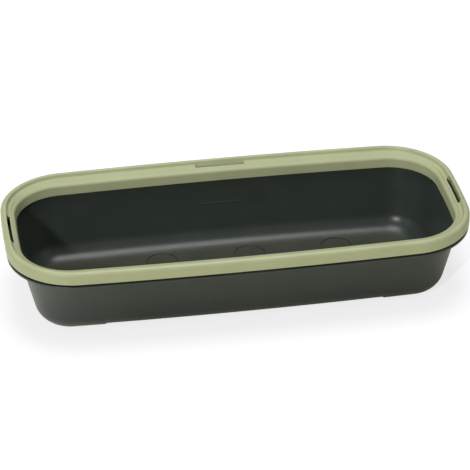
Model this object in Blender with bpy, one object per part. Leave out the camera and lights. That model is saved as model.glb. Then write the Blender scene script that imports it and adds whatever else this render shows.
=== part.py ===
# Windowsill seed tray: a deep tub, a loose rim collar and push-in drain plugs.
# Metres, +Z up, X along the length, -Y the front, Z zero on the plane it stands on.
import math

import bmesh
import bpy

# Overall size, over the collar
HALF_LENGTH = 0.2000
HALF_WIDTH = 0.0876
LONG_SIDE_BOW = 0.0052
END_BOW = 0.0045

# Plan corners of the collar's outer edge, the tub wall, its upright rim and the collar's mouth
OUTER_CORNER = 0.0580
WALL_CORNER = 0.0521
RIM_CORNER = 0.0555
MOUTH_CORNER = 0.0590

# How much further the rim and the mouth reach at the two ends than along the sides
RIM_END_REACH = 0.0026
MOUTH_END_REACH = 0.0041

# Heights
LIP_TOP_Z = 0.0742
PLATEAU_FOOT_Z = 0.0706
PLATEAU_EDGE_Z = 0.0689
SKIRT_BOTTOM_Z = 0.0634
INNER_SKIRT_BOTTOM_Z = 0.0599
FLANGE_TOP_Z = 0.0614
FLANGE_BOTTOM_Z = 0.0592
SHOULDER_Z = 0.0560
FIT_GAP = 0.0003

# Collar section, measured inward from its outer edge
LIP_WIDTH = 0.0048
LIP_FOOT = 0.0053
LIP_OUTER_ROUND = 0.0018
LIP_INNER_ROUND = 0.0008
SKIRT_THICKNESS = 0.0020
PLATEAU_THICKNESS = 0.0019
INNER_SKIRT_THICKNESS = 0.0018
SKIRT_EDGE = 0.0004
COLLAR_WIDTH = 0.0163
INNER_ROUND = 0.0012
INNER_LEAN = 0.0012

# Slots at the foot of the lip
END_SLOT_OUTER = 0.0046
END_SLOT_WIDTH = 0.0028
END_SLOT_LENGTH = 0.0428
SIDE_SLOT_OUTER = 0.0051
SIDE_SLOT_WIDTH = 0.0041
SIDE_SLOT_LENGTH = 0.0440

# Tub
WALL = 0.0024
RIM_WALL = 0.0021
WALL_UNDER_FLANGE_INSET = 0.0108
FLANGE_INSET = 0.0004
FLANGE_EDGE = 0.0004
RIM_EDGE = 0.0006
BOTTOM_ROUND = 0.0201
BOTTOM_INSET = 0.0407

# Shallow recess over the middle of both long sides and the base
RECESS_DEPTH = 0.0008
RECESS_HALF_LENGTH = 0.1215
RECESS_TOP_Z = 0.0237
RECESS_CORNER = 0.0270

# Drain plugs, in two staggered rows, each in a shallow round seat
PLUG_PITCH = 0.0786
PLUG_ROW_Y = 0.0350
SEAT_RADIUS = 0.0142
SEAT_DEPTH = 0.0008
SEAT_GROOVE = 0.0014
PLUG_PROUD = 0.0004
PLUG_EDGE = 0.0003
DRAIN_RADIUS = 0.0080
PLUG_CLEARANCE = 0.0004

# Level mark on the inner back wall
MARK_Z = 0.0379
MARK_LINE_START = -0.0188
MARK_LINE_END = 0.0170
MARK_BAR = 0.0011
MARK_PROUD = 0.0005
TICK_START = 0.0247
TICK_PITCH = 0.0044
TICK_HEIGHTS = (0.0066, 0.0044, 0.0066, 0.0044, 0.0066)

# Points along a quarter of the plan: end arc, corner arc, long side arc
END_STEPS = 4
CORNER_STEPS = 12
SIDE_STEPS = 6
FILLET_STEPS = 7

for item in list(bpy.data.objects):
    bpy.data.objects.remove(item, do_unlink=True)


# Plan shape: four bowed sides joined by tangent corner arcs
def plan(half_length, corner):
    side_radius = (half_length**2 + LONG_SIDE_BOW**2) / (2 * LONG_SIDE_BOW)
    end_radius = (HALF_WIDTH**2 + END_BOW**2) / (2 * END_BOW)
    side_y = HALF_WIDTH - side_radius
    end_x = half_length - end_radius
    to_side = side_radius - corner
    to_end = end_radius - corner
    apart = math.hypot(end_x, side_y)
    along = (to_side**2 - to_end**2 + apart**2) / (2 * apart)
    across = math.sqrt(to_side**2 - along**2)
    unit = (end_x / apart, -side_y / apart)
    first = (along * unit[0] - across * unit[1], side_y + along * unit[1] + across * unit[0])
    second = (along * unit[0] + across * unit[1], side_y + along * unit[1] - across * unit[0])
    centre = max(first, second, key=lambda point: point[0] + point[1])
    return {
        "side": (side_y, side_radius),
        "end": (end_x, end_radius),
        "centre": centre,
        "corner": corner,
        "side_angle": math.atan2(centre[1] - side_y, centre[0]),
        "end_angle": math.atan2(centre[1], centre[0] - end_x),
    }


OUTER = plan(HALF_LENGTH, OUTER_CORNER)
TUB = plan(HALF_LENGTH, WALL_CORNER)
RIM = plan(HALF_LENGTH + RIM_END_REACH, RIM_CORNER)
MOUTH = plan(HALF_LENGTH + MOUTH_END_REACH, MOUTH_CORNER)


# Closed loop of the plan, moved inward by inset
def loop(shape, inset, z):
    quarter = []
    end_x, end_radius = shape["end"]
    side_y, side_radius = shape["side"]
    for step in range(END_STEPS):
        angle = shape["end_angle"] * step / END_STEPS
        reach = end_radius - inset
        quarter.append((end_x + reach * math.cos(angle), reach * math.sin(angle)))
    for step in range(CORNER_STEPS):
        angle = shape["end_angle"] + (shape["side_angle"] - shape["end_angle"]) * step / CORNER_STEPS
        reach = shape["corner"] - inset
        quarter.append((shape["centre"][0] + reach * math.cos(angle),
                        shape["centre"][1] + reach * math.sin(angle)))
    for step in range(SIDE_STEPS + 1):
        angle = shape["side_angle"] + (math.pi / 2 - shape["side_angle"]) * step / SIDE_STEPS
        reach = side_radius - inset
        quarter.append((reach * math.cos(angle), side_y + reach * math.sin(angle)))
    half = quarter + [(-x, y) for x, y in reversed(quarter[:-1])]
    full = half + [(x, -y) for x, y in reversed(half[1:-1])]
    return [(x, y, z) for x, y in full]


# Points of a rounded corner in a section, as (inset, z)
def arc(centre, radius, start, end, steps):
    points = []
    for step in range(steps + 1):
        angle = math.radians(start + (end - start) * step / steps)
        points.append((centre[0] - radius * math.cos(angle), centre[1] + radius * math.sin(angle)))
    return points


def finish(name, mesh_data, colour=None, roughness=0.5, smooth=True):
    bmesh.ops.remove_doubles(mesh_data, verts=mesh_data.verts, dist=1e-7)
    bmesh.ops.recalc_face_normals(mesh_data, faces=mesh_data.faces)
    mesh = bpy.data.meshes.new(name)
    mesh_data.to_mesh(mesh)
    mesh_data.free()
    item = bpy.data.objects.new(name, mesh)
    bpy.context.scene.collection.objects.link(item)
    if smooth:
        mesh.shade_smooth()
        mesh.set_sharp_from_angle(angle=math.radians(32))
    if colour is None:
        item.hide_render = True
        item.display_type = "WIRE"
    else:
        material = bpy.data.materials.new(name)
        material.use_nodes = True
        shader = material.node_tree.nodes["Principled BSDF"]
        shader.inputs["Base Color"].default_value = (*colour, 1.0)
        shader.inputs["Roughness"].default_value = roughness
        mesh.materials.append(material)
    return item


# Solid swept round the plan: a closed section, or an open one capped at both ends
def loft(name, loops, closed, colour=None, roughness=0.5):
    shell = bmesh.new()
    rings = [[shell.verts.new(point) for point in points] for points in loops]
    pairs = list(zip(rings, rings[1:]))
    if closed:
        pairs.append((rings[-1], rings[0]))
    for low, high in pairs:
        for i, vertex in enumerate(low):
            j = (i + 1) % len(low)
            shell.faces.new((vertex, low[j], high[j], high[i]))
    if not closed:
        shell.faces.new(rings[0])
        shell.faces.new(rings[-1])
    return finish(name, shell, colour, roughness)


def cut(item, cutter, operation="DIFFERENCE"):
    modifier = item.modifiers.new(cutter.name, "BOOLEAN")
    modifier.operation = operation
    modifier.solver = "EXACT"
    modifier.object = cutter


# Solid between two stacked flat outlines
def prism(shell, low, high):
    bottom = [shell.verts.new(point) for point in low]
    top = [shell.verts.new(point) for point in high]
    for i in range(len(bottom)):
        j = (i + 1) % len(bottom)
        shell.faces.new((bottom[i], bottom[j], top[j], top[i]))
    shell.faces.new(bottom)
    shell.faces.new(top)


TUB_GREEN = (0.040, 0.046, 0.037)
COLLAR_GREEN = (0.445, 0.480, 0.262)

# Slope of the tub wall, from the flange down to the bottom round
round_z = BOTTOM_ROUND
run = BOTTOM_INSET - WALL_UNDER_FLANGE_INSET
rise = FLANGE_BOTTOM_Z - round_z
reach = math.hypot(run, rise)
draft = math.atan2(run, rise) - math.asin(BOTTOM_ROUND / reach)


# Outer face of the tub, moved inward by a skin thickness, from the base up to a height
def wall_section(skin, top_z):
    points = arc((BOTTOM_INSET, round_z), BOTTOM_ROUND - skin, -90, -math.degrees(draft), FILLET_STEPS)
    last_inset, last_z = points[-1]
    points.append((last_inset - (top_z - last_z) * math.tan(draft), top_z))
    return points


# Collar's plateau: how steeply it falls to the mouth, and how low its underside comes there
fall = (PLATEAU_FOOT_Z - PLATEAU_EDGE_Z) / (COLLAR_WIDTH - LIP_FOOT)
under_inner = COLLAR_WIDTH - INNER_SKIRT_THICKNESS
under_inner_z = PLATEAU_EDGE_Z + fall * INNER_SKIRT_THICKNESS - PLATEAU_THICKNESS

# Tub: wall, flange, and an upright rim that the collar's plateau rests on
outside = wall_section(0.0, SHOULDER_Z)
inside = wall_section(WALL, SHOULDER_Z)
rim_outer = WALL_UNDER_FLANGE_INSET
rim_inner = rim_outer + RIM_WALL
rim_top_z = under_inner_z - FIT_GAP
tub_loops = [loop(TUB, inset, z) for inset, z in outside]
tub_loops.append(loop(RIM, rim_outer, FLANGE_BOTTOM_Z))
tub_loops.append(loop(OUTER, FLANGE_INSET + FLANGE_EDGE, FLANGE_BOTTOM_Z))
tub_loops.append(loop(OUTER, FLANGE_INSET, FLANGE_BOTTOM_Z + FLANGE_EDGE))
tub_loops.append(loop(OUTER, FLANGE_INSET, FLANGE_TOP_Z - FLANGE_EDGE))
tub_loops.append(loop(OUTER, FLANGE_INSET + FLANGE_EDGE, FLANGE_TOP_Z))
tub_loops.append(loop(RIM, rim_outer, FLANGE_TOP_Z))
tub_loops.append(loop(RIM, rim_outer, rim_top_z - RIM_EDGE))
tub_loops.append(loop(RIM, rim_outer + RIM_EDGE, rim_top_z))
tub_loops.append(loop(RIM, rim_inner - RIM_EDGE, rim_top_z))
tub_loops.append(loop(RIM, rim_inner, rim_top_z - RIM_EDGE))
tub_loops.append(loop(RIM, rim_inner, FLANGE_TOP_Z))
tub_loops.append(loop(RIM, rim_inner, FLANGE_BOTTOM_Z))
tub_loops += [loop(TUB, inset, z) for inset, z in reversed(inside)]
tub = loft("tub", tub_loops, False, TUB_GREEN, 0.42)

# Recess: an arch through both long sides, cut no deeper than the recess depth
core_loops = [loop(TUB, inset, z) for inset, z in wall_section(RECESS_DEPTH, RECESS_TOP_Z + 0.008)]
core = loft("recess_core", core_loops, False)
arch = [(-RECESS_HALF_LENGTH, -0.004)]
for step in range(9):
    angle = math.radians(180 - 90 * step / 8)
    arch.append((-RECESS_HALF_LENGTH + RECESS_CORNER * (1 + math.cos(angle)),
                 RECESS_TOP_Z - 0.6 * RECESS_CORNER * (1 - math.sin(angle))))
arch += [(-x, z) for x, z in reversed(arch)]
shell = bmesh.new()
prism(shell, [(x, -HALF_WIDTH, z) for x, z in arch], [(x, HALF_WIDTH, z) for x, z in arch])
recess = finish("recess_cutter", shell, smooth=False)
cut(recess, core)
cut(tub, recess)

# Drain holes, each at the bottom of its seat
plug_places = []
for row in (1, -1):
    for number in range(-1, 2):
        plug_places.append((row * (PLUG_PITCH / 4 + number * PLUG_PITCH), row * PLUG_ROW_Y))


def circle(centre, radius, z, steps=48):
    turn = 2 * math.pi / steps
    return [(centre[0] + radius * math.cos(turn * i), centre[1] + radius * math.sin(turn * i), z)
            for i in range(steps)]


seat_z = WALL - SEAT_DEPTH
for name, radius, low, steps in (("seat_cutter", SEAT_RADIUS, seat_z, 48),
                                 ("drain_cutter", DRAIN_RADIUS, -0.004, 32)):
    shell = bmesh.new()
    for place in plug_places:
        prism(shell, circle(place, radius, low, steps), circle(place, radius, 0.008, steps))
    cutter = finish(name, shell, smooth=False)
    cut(tub, cutter)

# Level mark: a raised line and a short row of plain ticks, sunk into the sloping wall
bars = [((MARK_LINE_START + MARK_LINE_END) / 2, MARK_LINE_END - MARK_LINE_START, MARK_BAR)]
for number, height in enumerate(TICK_HEIGHTS):
    bars.append((TICK_START + number * TICK_PITCH, MARK_BAR, height))
inner_top = inside[-1]
wall_inset = inner_top[0] + (inner_top[1] - MARK_Z) * math.tan(draft)
wall_y = HALF_WIDTH - wall_inset
slope = (math.sin(draft), math.cos(draft))
shell = bmesh.new()
for x, length, height in bars:
    corners = []
    for depth in (-MARK_PROUD, 0.0010):
        face = []
        for side, level in ((-1, -1), (1, -1), (1, 1), (-1, 1)):
            up = level * height / 2
            face.append((x + side * length / 2,
                         wall_y + up * slope[0] + depth * slope[1],
                         MARK_Z + up * slope[1] - depth * slope[0]))
        corners.append(face)
    prism(shell, corners[0], corners[1])
mark = finish("level_mark", shell, smooth=False)
cut(tub, mark, "UNION")

# Collar: an upturned channel that drops over the tub wall
outer_part = [(0.0, SKIRT_BOTTOM_Z + SKIRT_EDGE)]
outer_part += arc((LIP_OUTER_ROUND, LIP_TOP_Z - LIP_OUTER_ROUND), LIP_OUTER_ROUND, 0, 90, 4)
outer_part += arc((LIP_WIDTH - LIP_INNER_ROUND, LIP_TOP_Z - LIP_INNER_ROUND), LIP_INNER_ROUND, 90, 170, 3)
outer_part.append((LIP_FOOT - 0.0001, PLATEAU_FOOT_Z + 0.0005))
outer_part.append((LIP_FOOT + 0.0004, PLATEAU_FOOT_Z))
edge_centre = (COLLAR_WIDTH - INNER_ROUND, PLATEAU_EDGE_Z - INNER_ROUND)
inner_part = arc(edge_centre, INNER_ROUND, 100, 180, 5)
mouth_bottom = COLLAR_WIDTH + INNER_LEAN
inner_part.append((mouth_bottom, INNER_SKIRT_BOTTOM_Z + SKIRT_EDGE))
inner_part.append((mouth_bottom - SKIRT_EDGE, INNER_SKIRT_BOTTOM_Z))
inner_part.append((mouth_bottom - INNER_SKIRT_THICKNESS, INNER_SKIRT_BOTTOM_Z))
inner_part.append((under_inner, under_inner_z))
under_outer_z = PLATEAU_FOOT_Z + fall * (LIP_FOOT - SKIRT_THICKNESS) - PLATEAU_THICKNESS
collar_loops = [loop(OUTER, inset, z) for inset, z in outer_part]
collar_loops += [loop(MOUTH, inset, z) for inset, z in inner_part]
collar_loops.append(loop(OUTER, SKIRT_THICKNESS, under_outer_z))
collar_loops.append(loop(OUTER, SKIRT_THICKNESS, SKIRT_BOTTOM_Z))
collar_loops.append(loop(OUTER, SKIRT_EDGE, SKIRT_BOTTOM_Z))
collar = loft("rim_collar", collar_loops, True, COLLAR_GREEN, 0.45)

# Slots through the collar's plateau, one on each side, bowed with it
shell = bmesh.new()
slot_low = SKIRT_BOTTOM_Z + 0.0002
slot_high = LIP_TOP_Z + 0.002
slot_sizes = (
    ("end", END_SLOT_LENGTH, END_SLOT_OUTER, END_SLOT_WIDTH),
    ("side", SIDE_SLOT_LENGTH, SIDE_SLOT_OUTER, SIDE_SLOT_WIDTH),
)
for key, slot_length, slot_outer, slot_width in slot_sizes:
    offset, radius = OUTER[key]
    half_angle = slot_length / 2 / radius
    for sign in (1, -1):
        outline = []
        for inset, order in ((slot_outer, 1), (slot_outer + slot_width, -1)):
            for step in range(-3, 4):
                angle = order * half_angle * step / 3
                out = sign * (offset + (radius - inset) * math.cos(angle))
                over = (radius - inset) * math.sin(angle)
                outline.append((out, over) if key == "end" else (over, out))
        prism(shell, [(x, y, slot_low) for x, y in outline], [(x, y, slot_high) for x, y in outline])
slots = finish("slot_cutter", shell, smooth=False)
cut(collar, slots)

# Drain plugs: a flat round head in the seat with a short stem in the hole
head_radius = SEAT_RADIUS - SEAT_GROOVE
head_z = seat_z + FIT_GAP
head_thickness = WALL + PLUG_PROUD - head_z
stem_radius = DRAIN_RADIUS - PLUG_CLEARANCE
stem_z = RECESS_DEPTH + 0.0002
for number, place in enumerate(plug_places, start=1):
    plug_loops = [
        circle((0, 0), stem_radius - 0.0005, stem_z - head_z),
        circle((0, 0), stem_radius, stem_z - head_z + 0.0005),
        circle((0, 0), stem_radius, 0),
        circle((0, 0), head_radius, 0),
        circle((0, 0), head_radius, head_thickness - PLUG_EDGE),
        circle((0, 0), head_radius - 0.3 * PLUG_EDGE, head_thickness - 0.3 * PLUG_EDGE),
        circle((0, 0), head_radius - PLUG_EDGE, head_thickness),
    ]
    plug = loft(f"drain_plug_{number}", plug_loops, False, TUB_GREEN, 0.42)
    plug.location = (place[0], place[1], head_z)
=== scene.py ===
import math

import bmesh
import bpy
from mathutils import Matrix, Vector


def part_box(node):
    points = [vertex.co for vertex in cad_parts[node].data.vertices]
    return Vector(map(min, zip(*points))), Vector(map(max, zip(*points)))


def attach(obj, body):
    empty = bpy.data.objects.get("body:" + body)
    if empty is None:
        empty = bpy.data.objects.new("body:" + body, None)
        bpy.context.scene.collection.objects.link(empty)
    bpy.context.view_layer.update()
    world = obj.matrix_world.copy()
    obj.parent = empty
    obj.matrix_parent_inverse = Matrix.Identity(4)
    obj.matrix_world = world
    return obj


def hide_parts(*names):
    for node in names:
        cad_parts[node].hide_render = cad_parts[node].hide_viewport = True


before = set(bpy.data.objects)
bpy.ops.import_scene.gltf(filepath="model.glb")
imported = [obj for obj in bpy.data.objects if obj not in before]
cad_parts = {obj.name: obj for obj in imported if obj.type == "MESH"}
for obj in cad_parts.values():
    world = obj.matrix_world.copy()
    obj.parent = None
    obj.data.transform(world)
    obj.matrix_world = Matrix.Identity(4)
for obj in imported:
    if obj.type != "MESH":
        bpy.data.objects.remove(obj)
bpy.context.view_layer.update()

# Tub: one thin moulding in dark green polypropylene. Its walls lean out to a flange that
# carries the collar, and an upright rim above the flange keeps the collar in place.
HALF_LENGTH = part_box("rim_collar")[1][0]
HALF_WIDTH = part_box("rim_collar")[1][1]
LONG_SIDE_BOW = 0.0052
END_BOW = 0.0045
WALL = 0.0024
WALL_CORNER = 0.0521
RIM_CORNER = 0.0555
OUTER_CORNER = 0.0580
RIM_END_REACH = 0.0026
BOTTOM_ROUND = 0.0201
BOTTOM_INSET = 0.0407
SHOULDER_Z = 0.0560
INNER_SHOULDER_Z = 0.0586
FLANGE_BOTTOM_Z = 0.0592
FLANGE_TOP_Z = 0.0614
FLANGE_INSET = 0.0004
FLANGE_ROUND = 0.0006
FLANGE_RUN = 0.0030
RIM_TOP_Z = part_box("tub")[1][2]
RIM_INSET = 0.0108
RIM_WALL = 0.0021
RIM_ROUND = 0.0007
WALL_RINGS = (0.0460, 0.0360, 0.0290)
OUTER_ROUND_STEPS = 26
INNER_ROUND_STEPS = 16
CORNER_STEPS = 22
END_STEPS = 8

# Shares of the long side's arc with the steps in each: close together where the recess ends
TUB_SIDE = ((0.62, 12), (0.27, 38), (0.11, 3))

# Shallow recess pressed into both long sides and the base, with a soft edge. The wall's
# rings lie close together there, and further apart below it.
RECESS_DEPTH = 0.0008
RECESS_HALF_LENGTH = 0.1215
RECESS_TOP_Z = 0.0237
RECESS_CORNER = 0.0270
RECESS_CORNER_HEIGHT = 0.0162
RECESS_SOFT = 0.0020
FINE_RING = 0.0005
FINE_RINGS = 8
COARSE_RING = 0.0008
COARSE_RINGS = 6
BASE_CUTS = 5
SMALLEST_BASE = 1e-5

# How near counts as the same place, as on a level or a ring, and as part of the base, and the
# angles from which an edge counts as square and stays sharp in the shading
SAME_PLACE = 1e-6
ON_LEVEL = 1e-5
ON_RING = 5e-5
NEAR_BASE = 0.0010
SQUARE_EDGE = 1.2
SHARP_EDGE = math.radians(35)


def plan(half_length, corner):
    """Outline from above: four bowed sides joined by corner arcs that run on smoothly."""
    side_radius = (half_length**2 + LONG_SIDE_BOW**2) / (2 * LONG_SIDE_BOW)
    end_radius = (HALF_WIDTH**2 + END_BOW**2) / (2 * END_BOW)
    side_y = HALF_WIDTH - side_radius
    end_x = half_length - end_radius
    to_side = side_radius - corner
    to_end = end_radius - corner
    apart = math.hypot(end_x, side_y)
    along = (to_side**2 - to_end**2 + apart**2) / (2 * apart)
    across = math.sqrt(to_side**2 - along**2)
    toward_end = Vector((end_x, -side_y)) / apart
    sideways = Vector((-toward_end.y, toward_end.x))
    foot = Vector((0, side_y)) + along * toward_end
    meets = [foot + sign * across * sideways for sign in (1, -1)]
    middle = max(meets, key=sum)
    side_angle = math.atan2(middle.y - side_y, middle.x)
    end_angle = math.atan2(middle.y, middle.x - end_x)
    return {
        "side": (Vector((0, side_y)), side_radius, math.pi / 2 - side_angle),
        "corner": (middle, corner, side_angle - end_angle),
        "end": (Vector((end_x, 0)), end_radius, end_angle),
    }


TUB_PLAN = plan(HALF_LENGTH, WALL_CORNER)
RIM_PLAN = plan(HALF_LENGTH + RIM_END_REACH, RIM_CORNER)
OUTER_PLAN = plan(HALF_LENGTH, OUTER_CORNER)


def mode(name):
    bpy.ops.object.mode_set(mode=name)


def new_shell(name):
    """An empty mesh in edit mode."""
    bpy.ops.object.select_all(action="DESELECT")
    bpy.ops.mesh.primitive_plane_add()
    item = bpy.context.object
    item.name = item.data.name = name
    mode("EDIT")
    bpy.ops.mesh.delete(type="VERT")
    return item


def pick(item, kind, test):
    """In edit mode, selects the shown vertices, edges or faces for which the test holds."""
    bpy.ops.mesh.select_mode(type={"verts": "VERT", "edges": "EDGE", "faces": "FACE"}[kind])
    bpy.ops.mesh.select_all(action="DESELECT")
    shell = bmesh.from_edit_mesh(item.data)
    for part in getattr(shell, kind):
        if not part.hide and test(part):
            part.select_set(True)
    bmesh.update_edit_mesh(item.data)


def draw(item, outline, points, rounds):
    """Draws a section line of (inset, z) points over the middle of the long side."""
    centre, radius = outline["side"][:2]
    places = [Vector((0, centre.y + radius - inset, z)) for inset, z in points]
    bpy.ops.mesh.select_mode(type="VERT")
    bpy.ops.mesh.primitive_plane_add(size=0.001, location=places[0])
    bpy.ops.mesh.merge(type="CENTER")
    for before, after in zip(places, places[1:]):
        bpy.ops.mesh.extrude_region_move(TRANSFORM_OT_translate={"value": after - before})
    for number, (bend, segments) in rounds.items():
        here = places[number]
        angle = (here - places[number - 1]).angle(places[number + 1] - here)
        pick(item, "verts", lambda vertex: (vertex.co - here).length < SAME_PLACE)
        bpy.ops.mesh.bevel(offset=bend * math.tan(angle / 2), offset_type="OFFSET",
                           segments=segments, affect="VERTICES")
    pick(item, "verts", lambda vertex: (vertex.co - places[-1]).length < SAME_PLACE)


def sweep(outline, side_stages):
    """Spins the drawn line along the side, round the corner and to the middle of the end."""
    bpy.ops.mesh.select_all(action="SELECT")
    stages = [("side", share, steps) for share, steps in side_stages]
    stages += [("corner", 1, CORNER_STEPS), ("end", 1, END_STEPS)]
    for arc, share, steps in stages:
        centre, radius, turn = outline[arc]
        bpy.ops.mesh.spin(steps=steps, angle=turn * share, center=(*centre, 0), axis=(0, 0, 1))


def put_aside():
    """Hides what is drawn so far, so that the next line is drawn on its own."""
    bpy.ops.mesh.select_all(action="SELECT")
    bpy.ops.mesh.hide()


def lies_on(outline, inset, z, vertex):
    """Whether a vertex of the swept quarter lies on the ring at this inset and height."""
    gaps = [abs((vertex.co.xy - centre).length - radius + inset)
            for centre, radius, turn in outline.values()]
    return abs(vertex.co.z - z) < ON_LEVEL and min(gaps) < ON_RING


def bridge(item, *rings):
    """Joins two rings, each given as its plan, inset and height."""
    pick(item, "edges", lambda edge: len(edge.link_faces) < 2 and any(
        all(lies_on(*ring, vertex) for vertex in edge.verts) for ring in rings))
    bpy.ops.mesh.bridge_edge_loops()


def mirror_quarter(item):
    """Sets the quarter's seams on the middle planes and makes the other three quarters."""
    for axis in range(2):
        pick(item, "verts", lambda vertex: abs(vertex.co[axis]) < ON_RING)
        flat = [1, 1, 1]
        flat[axis] = 0
        bpy.ops.transform.resize(value=flat, center_override=(0, 0, 0))
    mode("OBJECT")
    mirror = item.modifiers.new("other_quarters", "MIRROR")
    mirror.use_axis = (True, True, False)
    mirror.merge_threshold = ON_LEVEL
    bpy.ops.object.modifier_apply(modifier=mirror.name)
    mode("EDIT")


def turn_outward(item):
    """Makes the item active, in object mode, with all its faces out."""
    if bpy.context.mode != "OBJECT":
        mode("OBJECT")
    bpy.ops.object.select_all(action="DESELECT")
    item.select_set(True)
    bpy.context.view_layer.objects.active = item
    mode("EDIT")
    bpy.ops.mesh.select_all(action="SELECT")
    bpy.ops.mesh.normals_make_consistent(inside=False)
    mode("OBJECT")


def subtract(item, cutter):
    """Cuts one solid out of another and removes the cutter."""
    for solid in (item, cutter):
        turn_outward(solid)
    cut = item.modifiers.new(cutter.name, "BOOLEAN")
    cut.operation = "DIFFERENCE"
    cut.solver = "EXACT"
    cut.object = cutter
    bpy.context.view_layer.objects.active = item
    bpy.ops.object.modifier_apply(modifier=cut.name)
    bpy.data.objects.remove(cutter, do_unlink=True)


def finish_shape(item):
    """Leaves the item in object mode, faces out, with its place in the mesh and smooth shading."""
    turn_outward(item)
    bpy.ops.object.transform_apply(location=True, rotation=True, scale=True)
    bpy.ops.object.shade_smooth_by_angle(angle=SHARP_EDGE)
    flat = item.modifiers.new("flat_faces", "WEIGHTED_NORMAL")
    flat.keep_sharp = True
    bpy.ops.object.modifier_apply(modifier=flat.name)


run = BOTTOM_INSET - RIM_INSET
rise = FLANGE_BOTTOM_Z - BOTTOM_ROUND
draft = math.atan2(run, rise) - math.asin(BOTTOM_ROUND / math.hypot(run, rise))


def wall_line(skin, heights):
    """The wall's line through some heights, down to where the bottom round starts."""
    start_inset = BOTTOM_INSET - (BOTTOM_ROUND - skin) * math.cos(draft)
    start_z = BOTTOM_ROUND - (BOTTOM_ROUND - skin) * math.sin(draft)
    return [(start_inset - (z - start_z) * math.tan(draft), z) for z in (*heights, start_z)]


def bottom_round(steps):
    """Turns the end of the wall line under the tub, as far as the flat base."""
    centre, radius = TUB_PLAN["side"][:2]
    bpy.ops.mesh.spin(steps=steps, angle=math.pi / 2 - draft, axis=(1, 0, 0),
                      center=(0, centre.y + radius - BOTTOM_INSET, BOTTOM_ROUND))


def recess_share(x, z):
    """How deep a point of the outer skin is pressed in, from 0 outside to 1 inside."""
    across = abs(x) - (RECESS_HALF_LENGTH - RECESS_CORNER)
    above = z - (RECESS_TOP_Z - RECESS_CORNER_HEIGHT)
    room = min(RECESS_HALF_LENGTH - abs(x), RECESS_TOP_Z - z)
    if across > 0 and above > 0:
        u, v = across / RECESS_CORNER, above / RECESS_CORNER_HEIGHT
        size = math.hypot(u, v)
        room = (1 - size) * size / math.hypot(u / RECESS_CORNER, v / RECESS_CORNER_HEIGHT)
    share = min(max(room / RECESS_SOFT, 0), 1)
    return share * share * (3 - 2 * share)


def is_base(face):
    """Whether a face lies flat at the tub's underside."""
    return abs(face.normal.z) > 0.9 and face.calc_center_median().z < NEAR_BASE


# A quarter of the tub, line by line: the outer skin, pressed in where the recess is
tub = new_shell("tub_moulding")
heights = [SHOULDER_Z, *WALL_RINGS]
heights += [RECESS_TOP_Z + COARSE_RING - FINE_RING * step for step in range(FINE_RINGS)]
heights += [heights[-1] - COARSE_RING * (step + 1) for step in range(COARSE_RINGS)]
outer_line = wall_line(0, heights)
inner_line = wall_line(WALL, [INNER_SHOULDER_Z])
draw(tub, TUB_PLAN, outer_line, {})
bottom_round(OUTER_ROUND_STEPS)
sweep(TUB_PLAN, TUB_SIDE)
shell = bmesh.from_edit_mesh(tub.data)
shell.normal_update()
for vertex in shell.verts:
    inward = vertex.normal if vertex.normal.z > 0 else -vertex.normal
    vertex.co += inward * RECESS_DEPTH * recess_share(vertex.co.x, vertex.co.z)
bmesh.update_edit_mesh(tub.data)
put_aside()

# Then the ring where the wall meets the flange, the flange, the rim and the inner skin
draw(tub, RIM_PLAN, [(RIM_INSET, FLANGE_BOTTOM_Z)], {})
sweep(RIM_PLAN, TUB_SIDE)
put_aside()
flange_line = [(FLANGE_INSET + FLANGE_RUN, FLANGE_BOTTOM_Z), (FLANGE_INSET, FLANGE_BOTTOM_Z),
               (FLANGE_INSET, FLANGE_TOP_Z), (FLANGE_INSET + FLANGE_RUN, FLANGE_TOP_Z)]
draw(tub, OUTER_PLAN, flange_line, {1: (FLANGE_ROUND, 4), 2: (FLANGE_ROUND, 4)})
sweep(OUTER_PLAN, TUB_SIDE)
put_aside()
rim_line = [(RIM_INSET - FLANGE_ROUND, FLANGE_TOP_Z), (RIM_INSET, FLANGE_TOP_Z),
            (RIM_INSET, RIM_TOP_Z), (RIM_INSET + RIM_WALL, RIM_TOP_Z),
            (RIM_INSET + RIM_WALL, FLANGE_BOTTOM_Z)]
draw(tub, RIM_PLAN, rim_line, {1: (FLANGE_ROUND / 2, 3), 2: (RIM_ROUND, 4), 3: (RIM_ROUND, 4)})
sweep(RIM_PLAN, TUB_SIDE)
put_aside()
draw(tub, TUB_PLAN, inner_line, {})
bottom_round(INNER_ROUND_STEPS)
sweep(TUB_PLAN, TUB_SIDE)
bpy.ops.mesh.reveal(select=False)

# The lines joined, the other quarters mirrored and the base closed, with its recess
bridge(tub, (TUB_PLAN, *outer_line[0]), (RIM_PLAN, RIM_INSET, FLANGE_BOTTOM_Z))
bridge(tub, (RIM_PLAN, RIM_INSET, FLANGE_BOTTOM_Z), (OUTER_PLAN, *flange_line[0]))
bridge(tub, (OUTER_PLAN, *flange_line[-1]), (RIM_PLAN, *rim_line[0]))
bridge(tub, (RIM_PLAN, *rim_line[-1]), (TUB_PLAN, *inner_line[0]))
mirror_quarter(tub)
for level in (0, WALL):
    pick(tub, "edges",
         lambda edge: edge.is_boundary and abs(edge.verts[0].co.z - level) < NEAR_BASE)
    bpy.ops.mesh.edge_face_add()
for cut in range(BASE_CUTS):
    cut_x = RECESS_HALF_LENGTH - RECESS_SOFT * cut / (BASE_CUTS - 1)
    for side in (1, -1):
        pick(tub, "faces", lambda face: is_base(face) and len(face.verts) > 4)
        bpy.ops.mesh.bisect(plane_co=(side * cut_x, 0, 0), plane_no=(1, 0, 0))
shell = bmesh.from_edit_mesh(tub.data)
for face in shell.faces:
    if is_base(face) and face.calc_area() > SMALLEST_BASE:
        for vertex in face.verts:
            vertex.co.z = RECESS_DEPTH * recess_share(vertex.co.x, 0)
bmesh.update_edit_mesh(tub.data)
mode("OBJECT")

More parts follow.
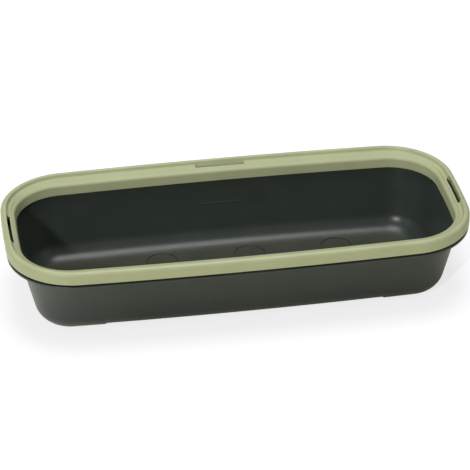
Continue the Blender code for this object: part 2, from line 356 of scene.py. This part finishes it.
# Drain holes under the six plugs, each at the bottom of a shallow round seat
DRAIN_RADIUS = 0.0080
SEAT_RADIUS = 0.0142
SEAT_Z = 0.0016
HOLE_EDGE = 0.0002
HOLE_SIDES = 96
DRILL_TOP_Z = 0.0080
DRILL_BOTTOM_Z = -0.0040
plug_centres = []
for number in range(1, 7):
    low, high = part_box(f"drain_plug_{number}")
    plug_centres.append(Vector(((low[0] + high[0]) / 2, (low[1] + high[1]) / 2)))

for radius, low in ((SEAT_RADIUS, SEAT_Z), (DRAIN_RADIUS, DRILL_BOTTOM_Z)):
    bpy.ops.object.select_all(action="DESELECT")
    drills = []
    for centre in plug_centres:
        bpy.ops.mesh.primitive_cylinder_add(
            vertices=HOLE_SIDES, radius=radius, depth=DRILL_TOP_Z - low,
            location=(*centre, (DRILL_TOP_Z + low) / 2))
        drills.append(bpy.context.object)
    for drill in drills:
        drill.select_set(True)
    bpy.ops.object.join()
    subtract(tub, bpy.context.object)
    mode("EDIT")
    pick(tub, "edges", lambda edge: edge.calc_face_angle(0) > SQUARE_EDGE and all(
        vertex.co.z > low + ON_LEVEL and any(
            abs((vertex.co.xy - centre).length - radius) < 2 * ON_LEVEL for centre in plug_centres)
        for vertex in edge.verts))
    bpy.ops.mesh.bevel(offset=HOLE_EDGE, segments=2, affect="EDGES")
    mode("OBJECT")

# Level mark inside the back wall: a raised line, and a row of plain ticks beside it
MARK_Z = 0.0379
MARK_LINE = (-0.0188, 0.0170)
MARK_BAR = 0.0011
MARK_PROUD = 0.0005
MARK_DEPTH = 0.0020
MARK_EDGE = 0.0003
TICK_START = 0.0247
TICK_PITCH = 0.0044
TICK_HEIGHTS = (0.0066, 0.0044, 0.0066, 0.0044, 0.0066)
bars = [(sum(MARK_LINE) / 2, MARK_LINE[1] - MARK_LINE[0], MARK_BAR)]
for number, height in enumerate(TICK_HEIGHTS):
    bars.append((TICK_START + number * TICK_PITCH, MARK_BAR, height))
wall_inset = inner_line[0][0] + (INNER_SHOULDER_Z - MARK_Z) * math.tan(draft)
side_centre, side_radius = TUB_PLAN["side"][:2]
sunk = MARK_DEPTH / 2 - MARK_PROUD
bpy.ops.object.select_all(action="DESELECT")
marks = []
for x, length, height in bars:
    wall_y = side_centre.y + math.sqrt((side_radius - wall_inset) ** 2 - x**2)
    bpy.ops.mesh.primitive_cube_add(
        size=1, location=(x, wall_y + sunk * math.cos(draft), MARK_Z - sunk * math.sin(draft)),
        rotation=(-draft, 0, 0), scale=(length, MARK_DEPTH, height))
    bpy.ops.object.transform_apply(location=False, rotation=False, scale=True)
    mode("EDIT")
    bpy.ops.mesh.bevel(offset=MARK_EDGE, segments=3, affect="EDGES")
    mode("OBJECT")
    marks.append(bpy.context.object)
for mark in marks:
    mark.select_set(True)
tub.select_set(True)
bpy.context.view_layer.objects.active = tub
bpy.ops.object.join()
finish_shape(tub)


class Wire:
    """A material's socket, so that shader maths reads as plain sums."""

    def __init__(self, tree, socket=None):
        self.tree = tree
        self.socket = socket

    def node(self, kind, settings, sockets, output=0):
        """Adds a node: its settings first, then the value or link of each socket."""
        made = self.tree.nodes.new(kind)
        for name, value in settings.items():
            setattr(made, name, value)
        for name, value in sockets.items():
            if isinstance(value, Wire):
                self.tree.links.new(value.socket, made.inputs[name])
            else:
                made.inputs[name].default_value = value
        return Wire(self.tree, made.outputs[output] if made.outputs else None)

    def sum(self, operation, *values):
        return self.node("ShaderNodeMath", {"operation": operation}, dict(enumerate(values)))

    def __add__(self, other):
        return self.sum("ADD", self, other)

    __radd__ = __add__

    def __sub__(self, other):
        return self.sum("SUBTRACT", self, other)

    def __rsub__(self, other):
        return self.sum("SUBTRACT", other, self)

    def __mul__(self, other):
        return self.sum("MULTIPLY", self, other)

    __rmul__ = __mul__

    def noise(self, scale, detail):
        """Noise around zero, with features of about one over the scale in metres."""
        field = self.node("ShaderNodeTexNoise", {}, {
            "Vector": self, "Scale": scale, "Detail": detail})
        return field - 0.5

    def turned(self, scale, rotation=(0, 0, 0)):
        """The place turned and stretched, so that a pattern on it runs in one direction."""
        return self.node("ShaderNodeMapping", {}, {
            "Vector": self, "Rotation": rotation, "Scale": scale})

    def step(self, low, high):
        """Runs smoothly from 0 at low to 1 at high."""
        return self.node("ShaderNodeMapRange", {"interpolation_type": "SMOOTHSTEP"}, {
            "Value": self, "From Min": low, "From Max": high})

    def tint(self, first, second):
        """Colour between two colours, with this as the share of the second."""
        return self.node("ShaderNodeMix", {"data_type": "RGBA"}, {0: self, 6: first, 7: second}, 2)


# Patterns in the plastic, by how many would fit in a metre, and the depth of its relief
PATCHES = 38
FLOW_MARKS = 22
SPECKS = 1500
SCUFFS = 60
SPARKS = 3200
WAVES = 160
SPARK_DEPTH = 0.000010
WAVE_DEPTH = 0.000015
RUBBED_BAND = (0.0012, 0.0001)
# Heights over which the painted light near the floor fades in
PAINTED_FLOOR_LIGHT_BAND = (0.0042, 0.0028)


def moulded_plastic(name, colour, roughness, edge_z, floor_light=None):
    """Satin polypropylene with a fine spark texture, faint flow marks, specks and scuffs.

    Its edge at edge_z is rubbed paler. With a colour given for the floor light, what lies near the
    floor gets that lighter, warmer colour: painted light for the light that falls on the tub's
    floor.
    """
    material = bpy.data.materials.new(name)
    material.use_nodes = True
    tree = material.node_tree
    tree.nodes.clear()
    sheet = Wire(tree)
    place = sheet.node("ShaderNodeTexCoord", {}, {}, "Object")
    height = sheet.node("ShaderNodeSeparateXYZ", {}, {"Vector": place}, "Z")
    mottle = place.noise(PATCHES, 3)
    flow = place.turned((1, 3, 3)).noise(FLOW_MARKS, 4)
    speck = place.noise(SPECKS, 1).step(0.20, 0.26)
    scuff = place.turned((1, 14, 1), (0.3, 0.5, 0.8)).noise(SCUFFS, 3).step(0.15, 0.30)
    rubbed = height.step(edge_z - RUBBED_BAND[0], edge_z - RUBBED_BAND[1])
    shade = [channel * 0.90 for channel in colour]
    light = [channel * 1.10 + 0.002 for channel in colour]
    pale = [channel * 1.25 + 0.010 for channel in colour]
    base = (0.5 + mottle * 0.9 + flow * 0.6).tint((*shade, 1), (*light, 1))
    base = (speck * 0.25).tint(base, (*pale, 1))
    base = (rubbed * (0.35 + mottle)).tint(base, (*pale, 1))
    # Painted light: near the floor the colour turns lighter and warmer, for the light that falls on
    # the tub's floor
    if floor_light:
        base = (height.step(*PAINTED_FLOOR_LIGHT_BAND) * (0.8 + mottle)).tint(base, (*floor_light, 1))
    rough = roughness + mottle * 0.10 + scuff * 0.05 - rubbed * 0.04
    relief = place.noise(SPARKS, 2) * SPARK_DEPTH + place.noise(WAVES, 1) * WAVE_DEPTH
    bump = sheet.node("ShaderNodeBump", {}, {"Height": relief, "Strength": 1.0, "Distance": 1.0})
    shader = sheet.node("ShaderNodeBsdfPrincipled", {}, {
        "Base Color": base, "Roughness": rough, "Normal": bump, "IOR": 1.49})
    sheet.node("ShaderNodeOutputMaterial", {}, {"Surface": shader})
    return material


TUB_GREEN = (0.0330, 0.0430, 0.0360)
TUB_ROUGHNESS = 0.33
# Lighter, warmer colour painted near the floor, for the light on the tub's floor and plugs
PAINTED_FLOOR_LIGHT = (0.060, 0.062, 0.047)
tub.data.materials.clear()
tub.data.materials.append(
    moulded_plastic("dark_green_plastic", TUB_GREEN, TUB_ROUGHNESS, FLANGE_TOP_Z, PAINTED_FLOOR_LIGHT))
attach(tub, "tub_body")
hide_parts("tub")

# Drain plugs: six round push-in plugs of the same dark plastic. Each has a flat head that
# lies almost flush in its seat, and a short stem that fills the drain hole.
HEAD_RADIUS = 0.0128
HEAD_EDGE = 0.0003
STEM_RADIUS = 0.0076
STEM_EDGE = 0.0004
SEAT_GAP = 0.0003
PLUG_BOTTOM_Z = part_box("drain_plug_1")[0][2]
HEAD_BOTTOM_Z = SEAT_Z + SEAT_GAP
HEAD_TOP_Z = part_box("drain_plug_1")[1][2]
head_level = HEAD_TOP_Z - PLUG_BOTTOM_Z - SAME_PLACE
plug_plastic = moulded_plastic("plug_plastic", TUB_GREEN, TUB_ROUGHNESS, HEAD_TOP_Z, PAINTED_FLOOR_LIGHT)
for number, centre in enumerate(plug_centres, start=1):
    bpy.ops.object.select_all(action="DESELECT")
    bpy.ops.mesh.primitive_circle_add(vertices=HOLE_SIDES, radius=STEM_RADIUS, fill_type="NGON",
                                      location=(*centre, PLUG_BOTTOM_Z))
    plug = bpy.context.object
    plug.name = plug.data.name = f"plug_{number}"
    mode("EDIT")
    bpy.ops.mesh.extrude_region_move(
        TRANSFORM_OT_translate={"value": (0, 0, HEAD_BOTTOM_Z - PLUG_BOTTOM_Z)})
    bpy.ops.mesh.extrude_region_move()
    bpy.ops.transform.resize(value=[HEAD_RADIUS / STEM_RADIUS] * 3)
    bpy.ops.mesh.extrude_region_move(
        TRANSFORM_OT_translate={"value": (0, 0, HEAD_TOP_Z - HEAD_BOTTOM_Z)})
    pick(plug, "edges", lambda edge: all(vertex.co.z > head_level for vertex in edge.verts)
         and edge.calc_face_angle(0) > SQUARE_EDGE)
    bpy.ops.mesh.bevel(offset=HEAD_EDGE, segments=4, affect="EDGES")
    pick(plug, "edges", lambda edge: all(vertex.co.z < SAME_PLACE for vertex in edge.verts)
         and edge.calc_face_angle(0) > SQUARE_EDGE)
    bpy.ops.mesh.bevel(offset=STEM_EDGE, segments=3, affect="EDGES")
    mode("OBJECT")
    finish_shape(plug)
    plug.data.materials.append(plug_plastic)
    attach(plug, f"plug_{number}_body")
    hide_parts(f"drain_plug_{number}")

# Rim collar: one moulding in sage green polypropylene, a channel open below that drops over
# the tub's rim. It has a raised outer lip, a plateau that falls to the mouth, and four slots
# at the lip's foot.
MOUTH_CORNER = 0.0590
MOUTH_END_REACH = 0.0041
LIP_TOP_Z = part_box("rim_collar")[1][2]
PLATEAU_FOOT_Z = 0.0712
PLATEAU_EDGE_Z = 0.0692
PLATEAU_EDGE = 0.0151
SKIRT_BOTTOM_Z = 0.0634
INNER_SKIRT_BOTTOM_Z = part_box("rim_collar")[0][2]
LIP_WIDTH = 0.0048
LIP_FOOT = 0.0061
SKIRT_THICKNESS = 0.0020
PLATEAU_THICKNESS = 0.0019
INNER_SKIRT_THICKNESS = 0.0018
COLLAR_WIDTH = 0.0163
INNER_LEAN = 0.0012
LEAN_ABOVE_EDGE = 0.17
SKIRT_INNER_EDGE = 0.0003
SKIRT_OUTER_EDGE = 0.0005
LIP_OUTER_ROUND = 0.0032
LIP_INNER_ROUND = 0.0010
LIP_FOOT_ROUND = 0.0013
MOUTH_ROUND = 0.0026
PLATEAU_STRIP = 0.0030
MOUTH_PLAN = plan(HALF_LENGTH + MOUTH_END_REACH, MOUTH_CORNER)
COLLAR_SIDE = ((1, 20),)

fall = (PLATEAU_FOOT_Z - PLATEAU_EDGE_Z) / (PLATEAU_EDGE - LIP_FOOT)


def plateau_z(inset):
    """Height of the plateau's top at an inset."""
    return PLATEAU_EDGE_Z + fall * (PLATEAU_EDGE - inset)


lip_line = [
    (SKIRT_THICKNESS, PLATEAU_FOOT_Z + fall * (LIP_FOOT - SKIRT_THICKNESS) - PLATEAU_THICKNESS),
    (SKIRT_THICKNESS, SKIRT_BOTTOM_Z), (0, SKIRT_BOTTOM_Z), (0, LIP_TOP_Z),
    (LIP_WIDTH, LIP_TOP_Z), (LIP_FOOT, plateau_z(LIP_FOOT)),
    (LIP_FOOT + PLATEAU_STRIP, plateau_z(LIP_FOOT + PLATEAU_STRIP))]
lip_rounds = {1: (SKIRT_INNER_EDGE, 3), 2: (SKIRT_OUTER_EDGE, 3), 3: (LIP_OUTER_ROUND, 12),
              4: (LIP_INNER_ROUND, 6), 5: (LIP_FOOT_ROUND, 6)}

# The mouth's wall leans inward as it goes down, and a little of that lean lies above its edge
mouth_bottom = COLLAR_WIDTH + INNER_LEAN
edge_inset = COLLAR_WIDTH - LEAN_ABOVE_EDGE * INNER_LEAN
under_inner_z = PLATEAU_EDGE_Z + fall * INNER_SKIRT_THICKNESS - PLATEAU_THICKNESS
mouth_line = [
    (COLLAR_WIDTH - PLATEAU_STRIP, plateau_z(COLLAR_WIDTH - PLATEAU_STRIP)),
    (edge_inset, plateau_z(edge_inset)), (mouth_bottom, INNER_SKIRT_BOTTOM_Z),
    (mouth_bottom - INNER_SKIRT_THICKNESS, INNER_SKIRT_BOTTOM_Z),
    (COLLAR_WIDTH - INNER_SKIRT_THICKNESS, under_inner_z)]
mouth_rounds = {1: (MOUTH_ROUND, 10), 2: (SKIRT_OUTER_EDGE, 3), 3: (SKIRT_OUTER_EDGE, 3)}

collar = new_shell("collar_moulding")
draw(collar, OUTER_PLAN, lip_line, lip_rounds)
sweep(OUTER_PLAN, COLLAR_SIDE)
put_aside()
draw(collar, MOUTH_PLAN, mouth_line, mouth_rounds)
sweep(MOUTH_PLAN, COLLAR_SIDE)
bpy.ops.mesh.reveal(select=False)
bridge(collar, (OUTER_PLAN, *lip_line[-1]), (MOUTH_PLAN, *mouth_line[0]))
bridge(collar, (OUTER_PLAN, *lip_line[0]), (MOUTH_PLAN, *mouth_line[-1]))
mirror_quarter(collar)
mode("OBJECT")

# Slots through the plateau, one on each side, bowed with it: inset, width and length at the
# top. The two on the long sides lean with the lip's slope.
END_SLOT = (0.0046, 0.0028, 0.0428)
SIDE_SLOT = (0.0038, 0.0034, 0.0440)
SIDE_SLOT_LEAN = 0.0054
SLOT_END_ROUND = 0.0008
SLOT_STEPS = 10
ABOVE_SKIRT = 0.0002
PAST_LIP = 0.0020
slot_low = SKIRT_BOTTOM_Z + ABOVE_SKIRT
slot_high = LIP_TOP_Z + PAST_LIP
slot_middle_z = (slot_low + slot_high) / 2
cutter = new_shell("slot_cutter")
for arc, facing, (inset, width, length) in (("side", 0, SIDE_SLOT), ("end", math.pi / 2, END_SLOT)):
    centre, radius = OUTER_PLAN[arc][:2]
    middle = radius - inset - width / 2
    angle = length / radius
    for half_turn, sign in ((0, 1), (math.pi, -1)):
        start = facing + half_turn - angle / 2
        place = sign * centre + middle * Vector((math.sin(start), math.cos(start)))
        bpy.ops.mesh.primitive_plane_add(
            size=width, location=(*place, slot_middle_z), rotation=(0, math.pi / 2, -start))
        bpy.ops.transform.resize(value=(1, 1, (slot_high - slot_low) / width),
                                 center_override=(*place, slot_middle_z))
        bpy.ops.mesh.spin(steps=SLOT_STEPS, angle=angle, axis=(0, 0, 1),
                          center=(*(sign * centre), 0))
        put_aside()
bpy.ops.mesh.reveal(select=False)
pick(cutter, "edges", lambda edge: edge.calc_face_angle(0) > SQUARE_EDGE
     and abs(edge.verts[0].co.z - edge.verts[1].co.z) > (slot_high - slot_low) / 2)
bpy.ops.mesh.bevel(offset=SLOT_END_ROUND, segments=4, affect="EDGES")
slot_y = HALF_WIDTH - SIDE_SLOT[0]
pick(cutter, "verts",
     lambda vertex: vertex.co.z < slot_middle_z and abs(vertex.co.y) > slot_y / 2)
bpy.ops.transform.resize(value=(1, 1 - SIDE_SLOT_LEAN / slot_y, 1), center_override=(0, 0, 0))
subtract(collar, cutter)
finish_shape(collar)

COLLAR_GREEN = (0.432, 0.460, 0.262)
COLLAR_ROUGHNESS = 0.45
collar.data.materials.append(
    moulded_plastic("sage_green_plastic", COLLAR_GREEN, COLLAR_ROUGHNESS, LIP_TOP_Z))
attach(collar, "collar_body")
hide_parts("rim_collar")

# Floor: a plain white sheet that keeps the tray's soft shadow. To the camera it is grey paper
# with a glow, so that it stays white. To the tray it is warm paper, and to the tray's gloss alone
# it also glows at the left, a painted reflection that lightens the tray's left corner.
FLOOR_SIZE = 12
FLOOR_GAP = 0.0002
WARM_PAPER = (0.88, 0.86, 0.73, 1)
SEEN_PAPER = (0.40, 0.40, 0.40, 1)
SEEN_GLOW = 0.72
LEFT_GLOW = 0.50
LEFT_GLOW_BAND = (0.08, 0.20)
bpy.ops.object.select_all(action="DESELECT")
bpy.ops.mesh.primitive_plane_add(size=FLOOR_SIZE, location=(0, 0, -FLOOR_GAP))
floor = bpy.context.object
floor.name = "floor"
bpy.ops.object.transform_apply(location=True)
white = bpy.data.materials.new("white_floor")
white.use_nodes = True
white.node_tree.nodes.clear()
paper = Wire(white.node_tree)
seen = paper.node("ShaderNodeLightPath", {}, {}, "Is Camera Ray")
mirrored = paper.node("ShaderNodeLightPath", {}, {}, "Is Glossy Ray")
across = paper.node("ShaderNodeSeparateXYZ", {}, {
    "Vector": paper.node("ShaderNodeTexCoord", {}, {}, "Object")}, "X")
left_share = (-1 * across).step(*LEFT_GLOW_BAND)
warm = paper.node("ShaderNodeBsdfDiffuse", {}, {"Color": WARM_PAPER})
# Painted reflection: a glow at the left that only the tray's gloss sees
left_glow = paper.node("ShaderNodeEmission", {}, {"Strength": LEFT_GLOW * mirrored * left_share})
for_tray = paper.node("ShaderNodeAddShader", {}, {0: warm, 1: left_glow})
grey = paper.node("ShaderNodeBsdfDiffuse", {}, {"Color": SEEN_PAPER})
glow = paper.node("ShaderNodeEmission", {}, {"Strength": SEEN_GLOW})
for_camera = paper.node("ShaderNodeAddShader", {}, {0: grey, 1: glow})
both = paper.node("ShaderNodeMixShader", {}, {0: seen, 1: for_tray, 2: for_camera})
paper.node("ShaderNodeOutputMaterial", {}, {"Surface": both})
floor.data.materials.append(white)

# Light: a small, far key lamp from the front left that throws the shadow into the tub, a
# broad lamp overhead, weak ones behind and at both sides, and a pale surround
MIDDLE = Vector((0, 0, 0.05))
SURROUND = 0.22


def lamp(name, toward, distance, across, power):
    """A round lamp in a direction from the tray's middle, facing it."""
    light = bpy.data.lights.new(name, "AREA")
    light.shape = "DISK"
    light.size = across
    light.energy = power
    item = bpy.data.objects.new(name, light)
    bpy.context.scene.collection.objects.link(item)
    item.location = MIDDLE + Vector(toward).normalized() * distance
    item.rotation_euler = Vector(toward).to_track_quat("Z", "Y").to_euler()


lamp("key_light", (-0.46, -0.74, 0.49), 4.0, 0.24, 57.0)
lamp("overhead_light", (0.0, 0.05, 1.0), 2.0, 1.2, 19.0)
lamp("back_light", (0.0, 0.55, 0.83), 2.0, 1.2, 4.4)
lamp("left_light", (-1.0, -0.2, 0.35), 2.0, 1.2, 2.0)
lamp("right_light", (1.0, -0.5, 0.8), 2.0, 1.2, 1.0)

world = bpy.data.worlds.new("pale_surround")
bpy.context.scene.world = world
world.use_nodes = True
world.node_tree.nodes.clear()
sky = Wire(world.node_tree)
camera_ray = sky.node("ShaderNodeLightPath", {}, {}, "Is Camera Ray")
strength = SURROUND + (1 - SURROUND) * camera_ray
backdrop = sky.node("ShaderNodeBackground", {}, {"Color": (1, 1, 1, 1), "Strength": strength})
sky.node("ShaderNodeOutputWorld", {}, {"Surface": backdrop})

# Camera: above the front, a little to the left, with a long lens, as the photograph was taken
CAMERA_PLACE = Vector((-0.29087, -1.69125, 1.10836))
CAMERA_YAW = -0.17041
CAMERA_PITCH = 0.55458
LENS = 178.244
SENSOR_WIDTH = 36
right = Vector((math.cos(CAMERA_YAW), math.sin(CAMERA_YAW), 0))
back = Vector((math.sin(CAMERA_YAW) * math.cos(CAMERA_PITCH),
               -math.cos(CAMERA_YAW) * math.cos(CAMERA_PITCH), math.sin(CAMERA_PITCH)))
up = back.cross(right)
lens = bpy.data.cameras.new("camera")
lens.lens = LENS
lens.sensor_width = SENSOR_WIDTH
camera = bpy.data.objects.new("camera", lens)
bpy.context.scene.collection.objects.link(camera)
turn = Matrix((right, up, back)).transposed().to_4x4()
camera.matrix_world = Matrix.Translation(CAMERA_PLACE) @ turn
bpy.context.scene.camera = camera
bpy.context.scene.view_settings.view_transform = "Standard"
